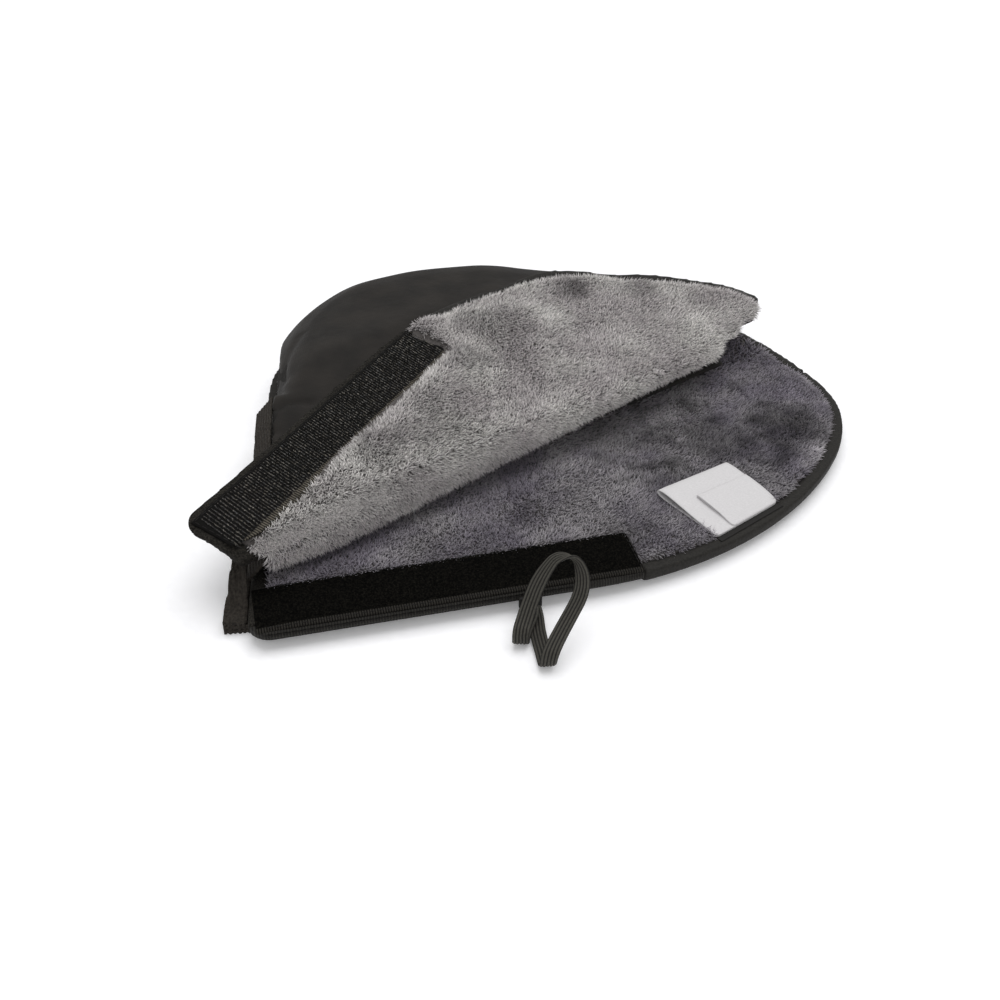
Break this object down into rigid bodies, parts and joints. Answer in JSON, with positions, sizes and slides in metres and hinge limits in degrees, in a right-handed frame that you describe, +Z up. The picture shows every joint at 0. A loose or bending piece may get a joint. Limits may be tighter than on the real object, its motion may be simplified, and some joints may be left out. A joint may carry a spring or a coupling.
{
  "type": "hand warmer muff",
  "caption": "Plush-lined quilted hand warmer muff for a push bar, with a turned-back front flap, hook-and-loop closure, elastic wrist opening and hanging loop.",
  "frame": {"origin": "on the table, under the middle of the muff, not counting the hanging loop", "axes": "+X runs along the closure edge from the wrist end to the far end, +Y runs back to the seam, +Z is up out of the table"},
  "size_m": [0.2974, 0.2799, 0.0451],
  "materials": {
    "shell_fabric": "matte woven polyester",
    "plush": "short-pile grey plush",
    "wadding": "soft polyester wadding",
    "edge_binding": "matte woven tape",
    "loop_tape": "brushed loop pile",
    "hook_tape": "woven nylon with fine hooks",
    "thread": "polyester thread",
    "wrist_elastic": "ribbed elastic",
    "loop_elastic": "flat ribbed elastic cord",
    "label_satin": "white satin"
  },
  "bodies": {
    "lower_panel": {"lower_shell": "shell_fabric", "lower_wadding": "wadding", "lower_lining": "plush", "closure_edge_binding": "edge_binding", "lower_cuff_binding": "edge_binding", "far_end_binding": "edge_binding", "back_seam_allowance": "edge_binding", "loop_tape": "loop_tape", "loop_tape_stitching": "thread", "wrist_elastic_lower": "wrist_elastic", "wrist_elastic_hem": "wrist_elastic", "wrist_elastic_front": "wrist_elastic", "loop_bar_tack": "thread", "care_label": "label_satin", "small_label": "label_satin", "care_label_tack": "thread"},
    "upper_panel": {"rear_shell": "shell_fabric", "rear_wadding": "wadding", "rear_lining": "plush", "fold_plush_roll": "plush", "wrist_elastic_upper": "wrist_elastic"},
    "flap": {"flap_shell": "shell_fabric", "flap_wadding": "wadding", "flap_lining": "plush", "flap_closure_hem": "edge_binding", "flap_cuff_hem": "edge_binding", "flap_end_binding": "edge_binding", "hook_tape": "hook_tape", "hook_tape_stitching": "thread"},
    "hanging_loop": {"hanging_loop": "loop_elastic"}
  },
  "joints": [
    {"name": "upper_panel_lift", "type": "hinge", "parent": "lower_panel", "child": "upper_panel", "pos_m": [0, 0.12256, 0.00915], "axis": [-1, 0, 0], "range_deg": [0, 15]},
    {"name": "flap_fold", "type": "hinge", "parent": "upper_panel", "child": "flap", "pos_m": [-0.13278, -0.09581, 0.01915], "axis": [0.9178, 0.3971, 0], "range_deg": [0, 168], "deforming": ["fold_plush_roll"]},
    {"name": "hanging_loop_swing", "type": "hinge", "parent": "lower_panel", "child": "hanging_loop", "pos_m": [-0.02931, -0.12341, 0.0046], "axis": [-1, 0, 0], "range_deg": [0, 15]}
  ]
}
